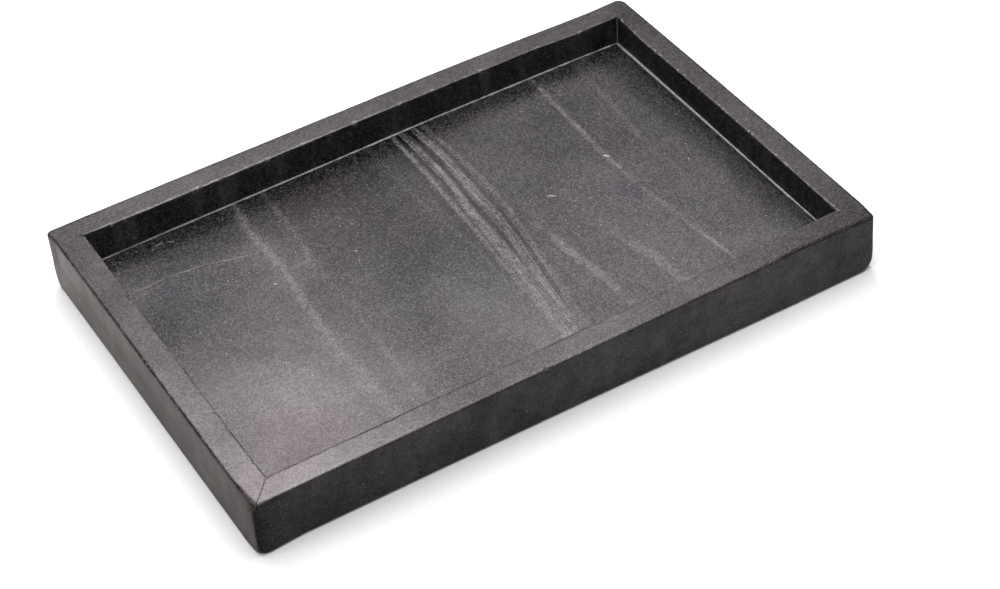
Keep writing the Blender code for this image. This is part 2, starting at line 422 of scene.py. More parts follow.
def chip_depth(along, distance, spread, generator, length, deepest):
    """How deep the chips bite at each point of a grid, given its distance from the arris."""
    depth = np.zeros(along.shape)
    count = int(CHIPS_PER_METRE * length)
    places = generator.uniform(-length / 2, length / 2, count)
    strengths = generator.uniform(0, 1, count) ** 4
    for place, strength in zip(places, strengths):
        reach = (0.25 + 1.3 * strength) * MM
        near = np.abs(along[:, 0] - place) < reach
        if not near.any():
            continue
        across = distance[near] / (spread * (0.6 + strength))
        bite = 1 - ((along[near] - place) / reach) ** 2 - across**2
        bite = np.sqrt(np.clip(bite, 0, 1)) * deepest * (0.25 + strength)
        depth[near] = np.maximum(depth[near], bite)
    return depth


def nearness(distance, reach):
    """How near points are to an arris: 1 on it, and almost 0 from twice that reach."""
    return np.exp(-(distance / reach) ** 2)


def make_rail(side, material):
    """One rail: its section swept from mitre to mitre, with dressing, waves and chips."""
    outward, start, end = SIDES[side]
    length = 2 * (HALF_LENGTH if outward[1] else HALF_WIDTH)
    section, names = rail_section(FOOT_RADIUS, MM)
    per_ease = (rail_section(FOOT_RADIUS, 2 * MM)[0] - section) / MM
    normals = section_normals(section)
    rings = int(length / RING_STEP) | 1
    shares = np.linspace(-1, 1, rings)[:, None] + np.zeros(len(section))
    eases = np.interp(shares, *np.array(ARRIS_RADII[side]).T) * MM
    insets = section[:, 0] + (eases - MM) * per_ease[:, 0]
    heights = section[:, 1] + (eases - MM) * per_ease[:, 1]
    plain, along = side_points(side, shares, insets, heights)

    generator = np.random.default_rng([CHIP_SEED, len(side), ord(side[0])])
    past_rim = np.clip(insets - eases, 0, None)
    past_face = np.clip(TOP - eases - heights, 0, None)
    outer = np.hypot(past_rim, past_face)
    inner_in = np.clip(RAIL_WIDTH - INNER_EASE - insets, 0, None)
    inner_down = np.clip(TOP - INNER_EASE - heights, 0, None)
    inner = np.hypot(inner_in, inner_down)
    wear = 0.5 + 0.5 * smooth_noise(plain, 9 * MM, 5)
    fine = smooth_noise(plain, 0.9 * MM, 6)
    deepest = OUTER_CHIP_DEPTH[side] * MM
    chipped = chip_depth(along, outer, OUTER_WEAR_REACH, generator, length, deepest)
    chipped += chip_depth(along, inner, INNER_WEAR_REACH, generator, length, INNER_CHIP_DEPTH)
    bite = chipped * (1 + 0.45 * fine)
    bite += nearness(outer, OUTER_WEAR_REACH) * wear * (0.09 + 0.07 * fine) * MM
    bite += nearness(inner, INNER_WEAR_REACH) * wear * (0.08 + 0.05 * fine) * MM
    wave = (0.5 + 0.5 * smooth_noise(plain, 38 * MM, 7)) * HONING_WAVE
    wave = wave * np.isin(names, ("outside", "outer_arris", "rim", "foot"))

    moved = np.clip(bite, 0, None) + wave * np.clip(section[:, 0] / RAIL_WIDTH, 0.3, 1)
    insets = dressed(side, shares, insets - moved * normals[:, 0], heights)
    heights = heights - moved * normals[:, 1]
    insets = np.clip(insets, 0, RAIL_WIDTH)
    heights = np.clip(heights, STONE_BOTTOM, TOP)
    gaps = (half_gap(start, heights), half_gap(end, heights))
    points, _ = side_points(side, shares, insets, heights, gaps)

    everywhere = np.ones(shares.shape)
    values = {
        "outer_arris": nearness(outer, OUTER_MARK_REACH),
        "inner_arris": nearness(inner, INNER_MARK_REACH),
        "chipped": np.clip(chipped / FULL_CHIP, 0, 1),
        "inner_face": np.isin(names, ("inside",)) * everywhere,
        "outer_face": np.isin(names, ("outside", "foot", "under")) * everywhere,
    }
    return add_piece(
        side + "_rail_stone",
        as_cut(points).reshape(-1, 3),
        grid_faces(rings, len(section)),
        material,
        replaces=side + "_rail",
        values=values,
    )


def make_slab(material):
    """The floor slab: a finely divided top with a faint honing wave, and eased top edges."""
    low, high = SLAB_LOW, SLAB_HIGH
    columns = int((high.x - low.x) / SLAB_STEP)
    rows = int((high.y - low.y) / SLAB_STEP)
    shape = bmesh.new()
    bmesh.ops.create_grid(shape, x_segments=columns, y_segments=rows, size=0.5)
    edge_x = (high.x - low.x) / 2 - SLAB_CHAMFER
    edge_y = (high.y - low.y) / 2 - SLAB_CHAMFER
    for vert in shape.verts:
        vert.co = Vector((vert.co.x * 2 * edge_x, vert.co.y * 2 * edge_y, FLOOR))
    upper = (SLAB_CHAMFER, FLOOR - SLAB_CHAMFER)
    lower = (SLAB_CHAMFER, STONE_BOTTOM + SLAB_CHAMFER)
    for grow, height in (upper, lower, (0, STONE_BOTTOM)):
        rim = [edge for edge in shape.edges if edge.is_boundary]
        made = bmesh.ops.extrude_edge_only(shape, edges=rim)["geom"]
        for vert in (item for item in made if isinstance(item, bmesh.types.BMVert)):
            if abs(abs(vert.co.x) - edge_x) < SLAB_STEP / 4 or abs(vert.co.x) > edge_x:
                vert.co.x = math.copysign(edge_x + grow, vert.co.x)
            if abs(abs(vert.co.y) - edge_y) < SLAB_STEP / 4 or abs(vert.co.y) > edge_y:
                vert.co.y = math.copysign(edge_y + grow, vert.co.y)
            vert.co.z = height
    bmesh.ops.holes_fill(shape, edges=[edge for edge in shape.edges if edge.is_boundary])
    points = np.array([tuple(vert.co) for vert in shape.verts])
    shape.verts.index_update()
    faces = [tuple(vert.index for vert in face.verts) for face in shape.faces]
    shape.free()
    on_top = points[:, 2] >= FLOOR - 1e-6
    points[on_top, 2] -= (0.5 + 0.5 * smooth_noise(points[on_top], 30 * MM, 21)) * SLAB_WAVE
    return add_piece(
        "floor_slab_stone",
        points,
        faces,
        material,
        replaces="base_slab",
    )


def make_floor_bead(side, material):
    """The adhesive along one edge of the floor, with an uneven bead at the wall's foot."""
    wall = RAIL_WIDTH + INNER_FOOT_GAP
    edge = HALF_WIDTH - SLAB_HIGH.y
    web_edge = edge - INNER_FOOT_GAP
    reach = web_edge + BEAD_REACH
    section = [(wall, STONE_BOTTOM + BEAD_LOW), (web_edge, STONE_BOTTOM + BEAD_LOW)]
    section += [(web_edge, FLOOR - BEAD_WEB_DEPTH)]
    section += [(web_edge + 0.2 * BEAD_REACH, FLOOR + 0.4 * LEDGE)]
    section += [(web_edge + 0.9 * BEAD_REACH, FLOOR + 1.1 * LEDGE)]
    for angle in np.linspace(0, math.pi / 2, 7):
        across = reach + (wall - reach) * math.sin(angle)
        section.append((across, FLOOR + 1.2 * LEDGE + BEAD_RISE * (1 - math.cos(angle))))
    section += [(wall, FLOOR + 1.3 * LEDGE), (wall, FLOOR + 0.6 * LEDGE)]
    section = np.array(section)
    outward, _, _ = SIDES[side]
    length = 2 * (HALF_LENGTH if outward[1] else HALF_WIDTH)
    rings = int(length / BEAD_STEP) | 1
    shares = np.linspace(-1, 1, rings)[:, None] + np.zeros(len(section))
    insets = section[:, 0] + np.zeros(shares.shape)
    heights = section[:, 1] + np.zeros(shares.shape)
    plain, _ = side_points(side, shares, insets, heights)
    wobble = smooth_noise(plain, 3.5 * MM, 31) + 0.6 * smooth_noise(plain, 1.2 * MM, 32)
    free = np.clip((insets - web_edge) / BEAD_REACH, 0, 1) * (heights > FLOOR)
    insets = insets + wobble * BEAD_WOBBLE * free
    heights = heights + wobble * BEAD_WOBBLE_UP * (heights > FLOOR + 5 * LEDGE)
    points, _ = side_points(side, shares, insets, heights, (BEAD_MITRE_GAP, BEAD_MITRE_GAP))
    return add_piece(
        side + "_floor_bead",
        as_cut(points).reshape(-1, 3),
        grid_faces(rings, len(section)),
        material,
        replaces=side + "_floor_adhesive",
    )


def make_corner_bead(corner, material):
    """The bead that was squeezed out of a mitre into the tray's inner corner."""
    side_x, side_y = CORNERS[corner]
    low = FLOOR + BEAD_RISE * 0.5
    high = TOP - INNER_EASE - CORNER_BEAD_END
    rings = int((high - low) / CORNER_BEAD_STEP)
    outline = [(0, 0)]
    for angle in np.linspace(0, math.pi / 2, 7):
        outline.append((1 - math.sin(angle), 1 - math.cos(angle)))
    outline = np.maximum(np.array(outline) * CORNER_BEAD_LEG, CORNER_BEAD_SKIN)
    verts = []
    for ring in range(rings):
        height = low + (high - low) * ring / (rings - 1)
        place = np.array([[side_x * 7.0, side_y * 5.0, height]])
        size = 1 + 0.30 * smooth_noise(place, 3 * MM, 41)[0] + 0.15 * smooth_noise(place, 1 * MM, 42)[0]
        for across, over in outline * size:
            x = side_x * (HALF_LENGTH - RAIL_WIDTH - across)
            y = side_y * (HALF_WIDTH - RAIL_WIDTH - over)
            verts.append((x, y, height))
    return add_piece(
        corner + "_corner_bead",
        as_cut(np.array(verts)),
        grid_faces(rings, len(outline)),
        material,
        replaces=corner + "_mitre_adhesive",
    )


def make_mitre_film(corner, material):
    """The thin film of adhesive in a mitre, a little below the stone all round."""
    side = next(name for name, (_, _, end) in SIDES.items() if end == corner)
    section, _ = rail_section(FOOT_RADIUS, ARRIS_RADII[side][-1][1] * MM)
    drawn_in = section - section_normals(section) * FILM_RECESS
    shares = np.ones(len(drawn_in))
    drawn_in[:, 0] = dressed(side, shares, drawn_in[:, 0], drawn_in[:, 1])
    drawn_in[:, 0] = np.clip(drawn_in[:, 0], FILM_RECESS, RAIL_WIDTH - FILM_INNER_RECESS)
    points, _ = side_points(side, shares, drawn_in[:, 0], drawn_in[:, 1])
    side_x, side_y = CORNERS[corner]
    across = np.array((-side_y, side_x, 0)) / math.sqrt(2)
    across = across * half_gap(corner, points[:, 2])[:, None] * FILM_FILL
    verts = as_cut(np.concatenate((points - across, points + across)))
    return add_piece(
        corner + "_mitre_film",
        verts,
        grid_faces(2, len(points)),
        material,
        replaces=corner + "_mitre_adhesive",
    )


def make_pad(corner, material):
    """A round felt pad with a soft, slightly ragged rim."""
    low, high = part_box(corner + "_pad")
    centre = (low + high) / 2
    radius = (high.x - low.x) / 2
    height = high.z - low.z
    flat = radius - PAD_EASE
    hub, ring = radius * 0.02, radius * 0.3
    profile = [(hub, 0)] + line((ring, 0), (flat, 0), 5)
    profile += arc((flat, PAD_EASE), PAD_EASE, 270, 360, 4)
    profile += arc((flat, height - PAD_EASE), PAD_EASE, 0, 90, 4)
    profile += line((flat, height), (ring, height), 5) + [(hub, height)]
    verts = []
    for turn in range(PAD_TURNS):
        angle = 2 * math.pi * turn / PAD_TURNS
        for across, up in profile:
            place = np.array([[math.cos(angle) * across, math.sin(angle) * across, up * 3]])
            ragged = 1 - 0.012 * (1 + smooth_noise(place, 0.6 * MM, 51)[0]) * (across > radius * 0.9)
            x = centre.x + math.cos(angle) * across * ragged
            y = centre.y + math.sin(angle) * across * ragged
            verts.append((x, y, low.z + up))
    count = len(profile)
    faces = []
    for turn in range(PAD_TURNS):
        here, there = turn * count, (turn + 1) % PAD_TURNS * count
        for index in range(count - 1):
            faces.append((here + index, there + index, there + index + 1, here + index + 1))
    faces.append(tuple(turn * count for turn in range(PAD_TURNS)))
    faces.append(tuple(turn * count + count - 1 for turn in reversed(range(PAD_TURNS))))
    return add_piece(
        corner + "_felt_pad",
        verts,
        faces,
        material,
        replaces=corner + "_pad",
    )


# Materials


class Value:
    """A node's output, which can be added, subtracted and multiplied as a number can."""

    def __init__(self, shader, socket):
        self.shader = shader
        self.socket = socket

    def __add__(self, other):
        return self.shader.math("ADD", self, other)

    def __sub__(self, other):
        return self.shader.math("SUBTRACT", self, other)

    def __rsub__(self, other):
        return self.shader.math("SUBTRACT", other, self)

    def __mul__(self, other):
        return self.shader.math("MULTIPLY", self, other)

    def __rpow__(self, base):
        return self.shader.math("POWER", base, self)

    def __abs__(self):
        return self.shader.math("ABSOLUTE", self)

    def at_least(self, other):
        """The larger of this and the other."""
        return self.shader.math("MAXIMUM", self, other)

    def at_most(self, other):
        """The smaller of this and the other."""
        return self.shader.math("MINIMUM", self, other)

    def sibling(self, output):
        """Another output of the same node."""
        return Value(self.shader, self.socket.node.outputs[output])

    def spread(self, low, high, to_low=0.0, to_high=1.0, interpolation="SMOOTHSTEP"):
        """Maps low..high to to_low..to_high, clamped."""
        inputs = {"Value": self, "From Min": low, "From Max": high, "To Min": to_low, "To Max": to_high}
        return self.shader.node("MapRange", inputs, "Result", interpolation_type=interpolation)

    def curve(self, points):
        """A smooth curve through points whose places and values lie from 0 to 1."""
        result = self.shader.node("FloatCurve", {"Value": self}, "Value")
        mapping = result.socket.node.mapping
        curve_points = mapping.curves[0].points
        for index, point in enumerate(sorted(points)):
            if index < 2:
                curve_points[index].location = point
            else:
                curve_points.new(*point)
        mapping.update()
        return result


class Shader:
    """A node material under construction: most calls add a node and return its output."""

    def __init__(self, name):
        self.material = bpy.data.materials.new(name)
        self.material.use_nodes = True
        self.tree = self.material.node_tree
        self.surface = self.tree.nodes["Principled BSDF"]
        self.place = self.node("TexCoord", {}, "Object")
        self.x = self.node("SeparateXYZ", {0: self.place}, "X")
        self.y = self.x.sibling("Y")
        self.flat_place = self.join(self.x, self.y, 0.0)

    def feed(self, socket, value):
        """Links a value to a socket, or sets the socket's number, colour or vector."""
        if isinstance(value, Value):
            self.tree.links.new(value.socket, socket)
        elif isinstance(value, tuple) and len(value) == 3 and socket.type == "RGBA":
            socket.default_value = (*value, 1)
        else:
            socket.default_value = value

    def node(self, kind, inputs, output, **settings):
        """Adds a node, sets it up, feeds its inputs and returns one of its outputs."""
        node = self.tree.nodes.new("ShaderNode" + kind)
        for name, setting in settings.items():
            setattr(node, name, setting)
        for name, value in inputs.items():
            self.feed(node.inputs[name], value)
        return Value(self, node.outputs[output])

    def math(self, operation, *numbers):
        """One operation on numbers or values."""
        return self.node("Math", dict(enumerate(numbers)), "Value", operation=operation)

    def join(self, x, y, z):
        """A vector, or a grey, from three numbers or values."""
        return self.node("CombineXYZ", {0: x, 1: y, 2: z}, 0)

    def mix(self, factor, first, second, blend="MIX"):
        """The first colour with the second blended in by that factor."""
        inputs = {"Factor": factor, 6: first, 7: second}
        return self.node("Mix", inputs, 2, data_type="RGBA", blend_type=blend)

    def attribute(self, name):
        """One of the values that add_piece stored in the mesh."""
        return self.node("Attribute", {}, "Fac", attribute_name=name)

    def stretched(self, scale, turn_degrees=0.0):
        """The place turned about Z and scaled by axis."""
        turn = (0, 0, math.radians(turn_degrees))
        return self.node("Mapping", {"Vector": self.place, "Rotation": turn, "Scale": scale}, "Vector")

    def noise(self, size, detail=3.0, roughness=0.5, distortion=0.0, at=None, output="Fac"):
        """Noise with features of about that size in metres."""
        inputs = {"Vector": at or self.place, "Scale": 1 / size, "Detail": detail}
        inputs |= {"Roughness": roughness, "Distortion": distortion}
        return self.node("TexNoise", inputs, output)

    def cells(self, size):
        """A random value from 0 to 1 for each crystal of about that size."""
        colour = self.node("TexVoronoi", {"Vector": self.place, "Scale": 1 / size}, "Color")
        return self.node("SeparateColor", {0: colour}, "Red")

    def dots(self, spacing, radius_share, kept_share, shift=0.0):
        """Small round specks scattered at about that spacing, most of them left out."""
        place = self.node("VectorMath", {0: self.place, 1: (shift,) * 3}, "Vector", operation="ADD")
        distance = self.node("TexVoronoi", {"Vector": place, "Scale": 1 / spacing}, "Distance")
        chosen = self.node("SeparateColor", {0: distance.sibling("Color")}, "Red")
        inside = self.math("LESS_THAN", distance, chosen.sibling("Green") * radius_share)
        return inside * self.math("LESS_THAN", chosen, kept_share)

    def ellipse(self, core, x_mm, y_mm, half_length, half_width, degrees=0.0):
        """A soft ellipse in plan: 1 as far as its core's share of the way out, 0 from its rim."""
        inputs = {"Vector": self.flat_place, "Location": (x_mm * MM, y_mm * MM, 0)}
        inputs["Rotation"] = (0, 0, math.radians(degrees))
        inputs["Scale"] = (half_length * MM, half_width * MM, 1)
        scaled = self.node("Mapping", inputs, "Vector", vector_type="TEXTURE")
        distance = self.node("VectorMath", {0: scaled}, "Value", operation="LENGTH")
        return distance.spread(core, 1.0, 1.0, 0.0)

    def ellipses(self, rows, core=0.0):
        """Soft ellipses, each times its row's last number, added up."""
        total = 0.0
        for *shape, amount in rows:
            total = self.math("MULTIPLY_ADD", self.ellipse(core, *shape), amount, total)
        return total

    def bump(self, height, depth, strength):
        """A surface normal that follows a height from 0 to 1, that deep in metres."""
        return self.node("Bump", {"Height": height, "Distance": depth, "Strength": strength}, "Normal")

    def painted(self, inputs):
        """Feeds the surface's inputs and returns the finished material."""
        for name, value in inputs.items():
            self.feed(self.surface.inputs[name], value)
        return self.material


# The floor's veins, drawn in millimetres: half width, tone, and a run of
# (y, x, strength) from the back to the front. Tone 1 is pale and -1 dark.
VEINS = (
    # The cloudy pair on the left
    (5.5, 0.20, ((90, -67.5, 0.7), (60, -69, 1.0), (24, -70, 0.8), (-10, -73.5, 0.8), (-90, -71, 0.6))),
    (2.6, 0.32,
     ((90, -66, 0.2), (60, -69, 1.0), (34, -68.4, 1.0), (10, -70.4, 1.0),
      (-30, -72, 0.4), (-90, -70, 0.4))),
    (2.8, 0.26,
     ((90, -52.4, 0.6), (50, -53.4, 1.0), (28, -56, 0.6), (0, -54.8, 0.4),
      (-50, -57.6, 0.7), (-90, -57, 0.5))),
    # The bundle's strands, and the dark gaps between them
    (1.6, 0.22, ((90, 2, 0.2), (50, 3, 0.8), (20, 5, 0.8), (-10, 8, 0.3), (-90, 6, 0.0))),
    (1.8, 0.60,
     ((90, 15.8, 0.9), (70, 15.2, 1.0), (30, 14.4, 0.7), (-10, 12.4, 0.6),
      (-50, 10.6, 0.6), (-90, 8, 0.6))),
    (2.8, 0.55,
     ((90, 19.6, 0.8), (50, 21.2, 1.0), (38, 21, 1.0), (28, 19, 0.8),
      (-10, 15.6, 0.4), (-90, 10, 0.7))),
    (3.8, 0.45,
     ((90, 20, 0.0), (38, 20.4, 0.1), (28, 19, 0.8), (0, 17.4, 1.0),
      (-20, 16.4, 0.8), (-90, 12, 0.3))),
    (3.6, 0.60,
     ((90, 26.4, 0.8), (60, 28, 1.0), (30, 26, 0.9), (10, 26, 0.8),
      (-12, 23.4, 0.4), (-50, 19, 0.5), (-90, 12.6, 0.4))),
    (2.0, 0.45,
     ((90, 24, 0.0), (4, 20, 0.0), (-10, 19, 0.6), (-30, 19.2, 0.9),
      (-50, 17.6, 0.8), (-90, 12, 0.5))),
    (2.2, 0.42,
     ((90, 30.8, 0.6), (60, 33.0, 0.8), (20, 33.6, 0.9), (0, 31, 0.8),
      (-40, 25.6, 0.6), (-90, 18, 0.0))),
    (1.2, -0.36, ((90, 18, 1.0), (60, 18.2, 1.0), (38, 17.8, 0.8), (20, 15.8, 0.4), (-90, 10, 0.2))),
    (1.6, -0.48,
     ((90, 23, 1.0), (60, 24.4, 1.0), (30, 22.8, 1.0), (10, 21.6, 0.8),
      (-20, 19.8, 0.6), (-90, 12, 0.2))),
    (1.5, -0.36,
     ((90, 29, 0.6), (60, 30.8, 0.8), (30, 30, 0.9), (0, 28, 0.8),
      (-30, 24, 0.6), (-90, 15, 0.1))),
    (2.2, -0.25, ((90, 12.6, 0.6), (30, 11.4, 0.8), (-10, 9.6, 0.6), (-50, 8, 0.3), (-90, 5, 0.1))),
    # The fainter ones on the right
    (3.4, 0.50,
     ((90, 40, 0.0), (10, 39.4, 0.2), (-12, 39, 0.5), (-34, 41, 1.0),
      (-46, 42.4, 0.8), (-90, 43.4, 0.3))),
    (4.6, 0.36,
     ((90, 60, 0.0), (0, 60.6, 0.2), (-32, 64, 0.6), (-52, 68, 1.0),
      (-72, 71, 0.8), (-90, 73, 0.5))),
    (2.4, 0.36,
     ((90, 90.4, 0.9), (60, 89.4, 0.9), (20, 88.4, 0.8), (-12, 90, 0.5),
      (-50, 93.4, 0.3), (-90, 97, 0.2))),
    (1.4, 0.50,
     ((90, 90, 0.2), (50, 89, 0.5), (20, 88.4, 0.5), (-40, 92, 0.2),
      (-54, 93.8, 1.0), (-90, 97, 1.0))),
    (2.8, 0.24, ((90, 113.6, 0.3), (60, 112, 0.9), (30, 109.2, 0.9), (0, 108, 0.3), (-90, 106, 0.1))),
    (4.5, 0.16, ((90, 118.5, 0.9), (70, 118, 0.7), (50, 117, 0.3), (-90, 114, 0.0))),
)
VEIN_GAIN = 3.9

# The densest vein is a bundle of thin strands: half width, and its route in millimetres
BUNDLE_HALF_WIDTH = 11.0
BUNDLE_ROUTE = ((90, 23.5), (20, 24.5), (-4, 22.8), (-40, 18.5), (-90, 13.0))

# Large clouds of paler or darker, shinier or duller stone, in millimetres:
# x, y, half length along X, half width along Y, and tone. The floor's pale clouds at the
# front left are a painted highlight where the softbox's sheen falls, and its dark ones along
# the back wall painted shade; the rails' pale cloud at the front left corner is the same
# painted highlight, and the left face's clouds paint its light, paler at the back and
# darker at the front.
FLOOR_CLOUDS_AND_LIGHT = (
    (-20, 15, 80, 62, -0.84),
    (-122, 24, 62, 54, -0.80),
    (-60, 80, 100, 30, -0.50),
    (-14, 76, 74, 64, -0.95),
    (-98, 80, 54, 30, -0.80),
    (-90, 42, 26, 22, -0.40),
    (-124, 70, 30, 16, -0.45),
    (48, -62, 46, 40, -0.46),
    (98, 30, 64, 84, -0.40),
    (46, -16, 66, 44, -0.55),
    (48, 34, 46, 26, -0.35),
    (90, 56, 26, 22, -0.35),
    (112, -44, 34, 30, -0.35),
    (-34, -42, 26, 30, -0.75),
    (-40, -70, 62, 24, -0.42),
    (-104, -52, 50, 44, 0.12),
    (-119, -60, 12, 10, 0.28),
    (-102, -44, 42, 26, 0.30),
    (-72, -24, 16, 50, 0.25),
    (-30, 71, 120, 22, -0.55),
    (16, -46, 28, 34, -0.42),
    (-24, -36, 20, 20, -0.20),
    (-36, -66, 22, 14, -0.10),
)
RAIL_CLOUDS_AND_LIGHT = (
    (-136, -92, 56, 44, 0.40),
    (-42, -95, 54, 26, -0.62),
    (-68, -95, 30, 26, -0.22),
    (0, -95, 36, 26, -0.38),
    (50, -95, 84, 26, -0.25),
    (140, -98, 60, 34, -0.80),
    (-110, 96, 66, 22, 0.34),
    (-128, 96, 26, 16, -0.42),
    (128, 96, 66, 34, -0.46),
    (128, 96, 42, 16, 0.42),
    (142, 96, 14, 14, 0.40),
    (-30, 96, 60, 16, 0.14),
    (-146, 72, 16, 44, -0.25),
    (-146, 30, 16, 50, -0.48),
    (-146, -70, 16, 26, -0.22),
    (146, -60, 16, 44, -0.25),
    (146, 84, 16, 46, -0.45),
    (146, 14, 16, 26, -0.40),
)
FACE_CLOUDS_AND_LIGHT = (
    (-150, -70, 16, 136, -0.66),
    (-150, 100, 16, 60, 0.36),
    (96, -100, 110, 14, 0.45),
    (-149, -98.2, 3.6, 3.6, -0.8),
    (0, -100, 300, 14, 0.38),
)

# Lines along the rails' inner arrises: the pale ones on the back and right rails and the
# front's right half are painted glints where the arris faces the light, with some worn
# stone, and the dark ones on the left and front are painted shade where it faces away:
# x, y, half length along X, half width along Y, and tone
ARRIS_GLINTS_AND_SHADE = (
    (-75, 88, 112, 5, 2.0),
    (139, -78, 5, 32, 2.2),
    (139, 64, 5, 14, 2.6),
    (-136.8, -62, 5, 62, -2.0),
    (-90, -89, 80, 5, -2.0),
    (66, -88, 80, 5, 1.2),
)

# Faint coloured hazes in the stone: x, y, half length, half width and the colour added. The two pink
# ones at the front left are a painted sheen where the softbox's highlight falls.
HAZES_AND_SHEEN = (
    (-112, -62, 62, 56, (0.0130, 0.0010, 0.0075)),
    (-150, -102, 46, 34, (0.0200, 0.0050, 0.0140)),
    (-112, 50, 26, 30, (0.0, 0.0010, 0.0045)),
    (-2, -20, 34, 30, (0.0, 0.0016, 0.0045)),
    (86, -8, 26, 32, (0.0030, 0.0004, 0.0055)),
    (112, -48, 20, 18, (0.0030, 0.0, 0.0040)),
    (-36, 54, 30, 26, (0.0040, 0.0015, 0.0)),
)

# Pale flecks and scratches on the floor, in millimetres: x, y, half length, half width,
# direction and strength
FLECKS = (
    (53.2, 8.6, 2.5, 0.5, -37, 0.8),
    (88.4, 18.4, 2.3, 0.6, -51, 0.8),
    (-36.4, 26.6, 0.7, 0.4, 20, 0.8),
    (-75.6, 27.6, 1.5, 0.35, -40, 0.6),
    (117.4, -5.0, 0.8, 0.4, 70, 0.7),
    (-113.0, 0.0, 0.5, 0.4, 0, 0.6),
    (-122.0, 58.6, 12, 0.45, 2, 0.16),
    (-103.0, 58.0, 12, 0.45, -6, 0.20),
    (-84.0, 53.6, 13, 0.45, -16, 0.20),
    (-106.0, 81.4, 3.0, 0.45, 8, 0.35),
    (-101.0, 80.0, 2.2, 0.40, -30, 0.28),
    (-110.0, 79.4, 1.8, 0.40, 40, 0.25),
    (-60.0, 33.0, 7.0, 1.6, 5, 0.08),
)

# How strongly the grain shows, and how far in millimetres the veins reach from the middle
# along Y and drift at most along X
GRAIN_CONTRAST = 5.0
VEIN_REACH = 90.0
VEIN_DRIFT = 16.0

# Base colours, and the colours of specks, dust, flecks and chips
FLOOR_STONE = (0.0252, 0.0238, 0.0246)
RIM_STONE = (0.0272, 0.0250, 0.0238)
FACE_STONE = (0.0262, 0.0252, 0.0258)
# The left face's paler, warmer colour is painted light from the fill at the left
LIT_LEFT_FACE_STONE = (0.0350, 0.0262, 0.0240)
# The blue-black tint of the painted shade along the floor's back and right walls
PAINTED_SHADE_TINT = (0.0, 0.0002, 0.0016)
FACE_SHINE_TINT = (1.0, 0.72, 0.66)
FLOOR_SPECK = (0.22, 0.215, 0.215)
FLOOR_DUST = (0.15, 0.145, 0.145)
FLECK = (0.40, 0.39, 0.39)
RAIL_SPECK = (0.22, 0.21, 0.20)
RAIL_DUST = (0.13, 0.125, 0.12)
CHIP = (0.16, 0.15, 0.145)
BEAD = (0.27, 0.262, 0.265)
CORNER_BEAD = (0.11, 0.11, 0.105)
FILM = (0.010, 0.0095, 0.009)


def vein_share(y_mm):
    """A place along the veins as a share: 0 at the front and 1 at the back."""
    return (y_mm / VEIN_REACH + 1) / 2


def vein_centre(shader, along, route):
    """The x of a vein's middle line at each y, from its drawn (y, x) points."""
    middle = sum(x_mm for _, x_mm in route) / len(route)
    points = [(vein_share(y_mm), (x_mm - middle) / VEIN_DRIFT / 2 + 0.5) for y_mm, x_mm in route]
    start = (middle - VEIN_DRIFT) * MM
    return shader.math("MULTIPLY_ADD", along.curve(points), 2 * VEIN_DRIFT * MM, start)


def bundle_strands(shader, wandered, along):
    """The densest vein's thin strands, running along its route."""
    across = wandered - vein_centre(shader, along, BUNDLE_ROUTE)
    strands = shader.noise(1.1 * MM, 3.0, 0.6, at=shader.join(across, shader.y * 0.03, 0.0))
    inside = abs(across).spread(0.3 * BUNDLE_HALF_WIDTH * MM, BUNDLE_HALF_WIDTH * MM, 1.0, 0.0)
    return strands.spread(0.35, 0.65, -0.36, 0.36) * inside


def floor_veins(shader):
    """All of the floor's veins as one number: above 0 pale, below 0 dark."""
    along = shader.y.spread(-VEIN_REACH * MM, VEIN_REACH * MM, interpolation="LINEAR")
    wander = (shader.noise(30 * MM, 2.0) - 0.5) * (1.6 * MM)
    waver = (shader.noise(1.1 * MM, 2.0) - 0.5) * (1.0 * MM)
    wandered = shader.x + wander + waver
    total = bundle_strands(shader, wandered, along)
    for half_width, tone, run in VEINS:
        centre = vein_centre(shader, along, [(y_mm, x_mm) for y_mm, x_mm, _ in run])
        strength = along.curve([(vein_share(y_mm), share) for y_mm, _, share in run])
        line_mask = abs(wandered - centre).spread(0.2 * half_width * MM, half_width * MM, 1.0, 0.0)
        total = shader.math("MULTIPLY_ADD", line_mask, strength * tone, total)
    dusty = shader.noise(0.8 * MM, 2.0).spread(0.35, 0.65, 0.6, 1.4)
    broken = shader.noise(4 * MM, 3.0, 0.6).spread(0.32, 0.62, 0.45, 1.25)
    return total * dusty * broken


def add_hazes_and_sheen(shader, stone, share):
    """The stone's colour with the faint hazes and the painted pink sheen added, as strongly as the
    share says.
    """
    for *shape, colour in HAZES_AND_SHEEN:
        stone = shader.mix(shader.ellipse(0.0, *shape) * share, stone, colour, "ADD")
    return stone


def painted_wall_shade(shader):
    """Painted shade on the floor: how near a point is to the back and right walls, where the rails'
    shadow and dark reflection fall.
    """
    shift = (shader.noise(22 * MM, 3.0) - 0.5) * (10 * MM)
    back = (shader.y + shift).spread(SLAB_HIGH.y - 16 * MM, SLAB_HIGH.y - 5 * MM)
    back = back * shader.y.spread(SLAB_HIGH.y - 3 * MM, SLAB_HIGH.y, 1.0, 0.4)
    back = back * shader.x.spread(0.0, 70 * MM, 0.75, 0.4)
    right = (shader.x + shift).spread(SLAB_HIGH.x - 19 * MM, SLAB_HIGH.x - 8 * MM)
    right = right * shader.y.spread(-78 * MM, -36 * MM, 0.45, 0.85)
    return back.at_least(right)


def stone_grain(shader):
    """The honed stone's fine salt-and-pepper grain, about 0 to 1 with 0.5 as its middle."""
    fine = shader.noise(0.7 * MM, 3.0, 0.7)
    coarse = shader.noise(2.4 * MM, 3.0, 0.6)
    return shader.cells(0.56 * MM) * 0.65 + (fine * 0.9 + coarse * 0.2 - 0.375)


